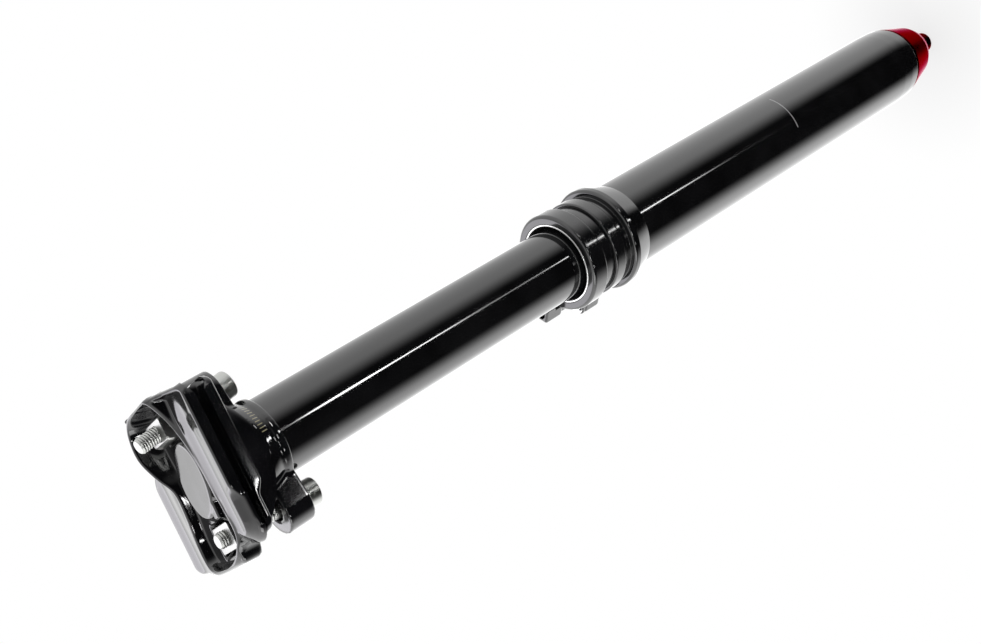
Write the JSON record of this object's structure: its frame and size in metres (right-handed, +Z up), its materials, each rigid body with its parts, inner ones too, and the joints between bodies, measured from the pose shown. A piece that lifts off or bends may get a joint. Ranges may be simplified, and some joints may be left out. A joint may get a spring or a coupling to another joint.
{
  "type": "dropper seatpost",
  "caption": "Telescopic bicycle seatpost with a sealed collar, cable release, gas cartridge and a two-bolt tilting clamp for saddle rails.",
  "frame": {"origin": "on the post's axis at the lower end of the mast's full diameter, where the red cap's rim begins", "axes": "+Z up the post, +X to the back of the bicycle, +Y to its right as the rider sits"},
  "size_m": [0.0537, 0.0506, 0.4037],
  "materials": {
    "black_anodised": "gloss black anodised",
    "red_anodised": "gloss crimson anodised",
    "steel": "bright",
    "bare_aluminium": "machined",
    "brass": "machined",
    "seal_rubber": "matte",
    "bushing_polymer": "matte"
  },
  "bodies": {
    "mast": {"mast_tube": "black_anodised", "bottom_cap": "red_anodised", "cap_o_ring": "seal_rubber", "charge_valve": "brass", "valve_core": "steel", "valve_cap": "red_anodised", "piston_rod": "steel", "piston": "bare_aluminium", "piston_seal": "seal_rubber", "rocker_pin": "steel", "collar_body": "black_anodised", "seal_washer": "steel", "shaft_o_ring": "seal_rubber", "upper_bushing": "bushing_polymer", "lever_ring": "black_anodised", "cable_stop": "black_anodised", "stop_screws": "steel", "lever_pin": "steel", "gland_nut": "black_anodised", "wiper_seal": "seal_rubber", "wiper_ring": "steel"},
    "shaft": {"upper_shaft": "black_anodised", "anti_rotation_keys": "brass", "lower_bushing": "bushing_polymer", "cartridge_tube": "bare_aluminium", "cartridge_gland": "bare_aluminium", "centring_ring": "bare_aluminium", "cartridge_cap": "bare_aluminium", "seat_head": "black_anodised"},
    "gas_piston": {"floating_piston": "bare_aluminium", "floating_piston_seal": "seal_rubber"},
    "clamp": {"lower_cradle": "black_anodised", "upper_clamp": "black_anodised"},
    "rear_screw": {"rear_bolt": "steel", "rear_washer": "steel"},
    "front_screw": {"front_bolt": "steel", "front_washer": "steel"},
    "rear_nut": {"rear_barrel_nut": "steel"},
    "front_nut": {"front_barrel_nut": "steel"},
    "lever": {"release_lever": "black_anodised", "cable_anchor_screw": "steel"},
    "rod": {"actuator_rod": "steel"},
    "rocker": {"valve_rocker": "steel"},
    "pin": {"valve_pin": "steel"}
  },
  "joints": [
    {"name": "post_slide", "type": "slide", "parent": "mast", "child": "shaft", "axis": [0, 0, 1], "range_m": [-0.12, 0]},
    {"name": "gas_piston_slide", "type": "slide", "parent": "shaft", "child": "gas_piston", "axis": [0, 0, 1], "range_m": [0, 0.0192]},
    {"name": "clamp_tilt", "type": "hinge", "parent": "shaft", "child": "clamp", "pos_m": [0, 0, 0.3687], "axis": [0, 1, 0], "range_deg": [-20, 1]},
    {"name": "rear_bolt_swing", "type": "hinge", "parent": "shaft", "child": "rear_screw", "pos_m": [0.0194, 0, 0.3409], "axis": [0, 1, 0], "range_deg": [-0.12, 2.3]},
    {"name": "front_bolt_swing", "type": "hinge", "parent": "shaft", "child": "front_screw", "pos_m": [-0.0198, 0, 0.336], "axis": [0, 1, 0], "range_deg": [-0.18, 3.5]},
    {"name": "rear_nut_slide", "type": "slide", "parent": "rear_screw", "child": "rear_nut", "axis": [-0.0998, 0, 0.995], "range_m": [-0.0004, 0.0061]},
    {"name": "front_nut_slide", "type": "slide", "parent": "front_screw", "child": "front_nut", "axis": [0.0696, 0, 0.9976], "range_m": [-0.0059, 0.0004]},
    {"name": "release_press", "type": "hinge", "parent": "mast", "child": "lever", "pos_m": [-0.01101, 0.01573, 0.1955], "axis": [0.8192, 0.5736, 0], "range_deg": [0, 13.3]},
    {"name": "release_rod_slide", "type": "slide", "parent": "mast", "child": "rod", "axis": [0, 0, 1], "range_m": [-0.00136, 0], "stiffness_N_per_m": 100, "springref_m": 0.003},
    {"name": "rocker_swing", "type": "hinge", "parent": "mast", "child": "rocker", "pos_m": [-0.00402, 0.00573, 0.0156], "axis": [-0.8192, -0.5736, 0], "range_deg": [0, 14]},
    {"name": "valve_pin_slide", "type": "slide", "parent": "mast", "child": "pin", "axis": [0, 0, 1], "range_m": [0, 0.0016]}
  ],
  "couplings": [
    {"joint": "gas_piston_slide", "follows": "post_slide", "ratio": -0.16},
    {"joint": "rear_bolt_swing", "follows": "clamp_tilt", "ratio": -0.1125},
    {"joint": "front_bolt_swing", "follows": "clamp_tilt", "ratio": -0.1715},
    {"joint": "rear_nut_slide", "follows": "clamp_tilt", "m_per_rad": -0.017203},
    {"joint": "front_nut_slide", "follows": "clamp_tilt", "m_per_rad": 0.016695},
    {"joint": "release_press", "follows": "release_rod_slide", "rad_per_m": -166.67},
    {"joint": "rocker_swing", "follows": "release_rod_slide", "rad_per_m": -176.67},
    {"joint": "valve_pin_slide", "follows": "release_rod_slide", "ratio": -1.1583}
  ]
}
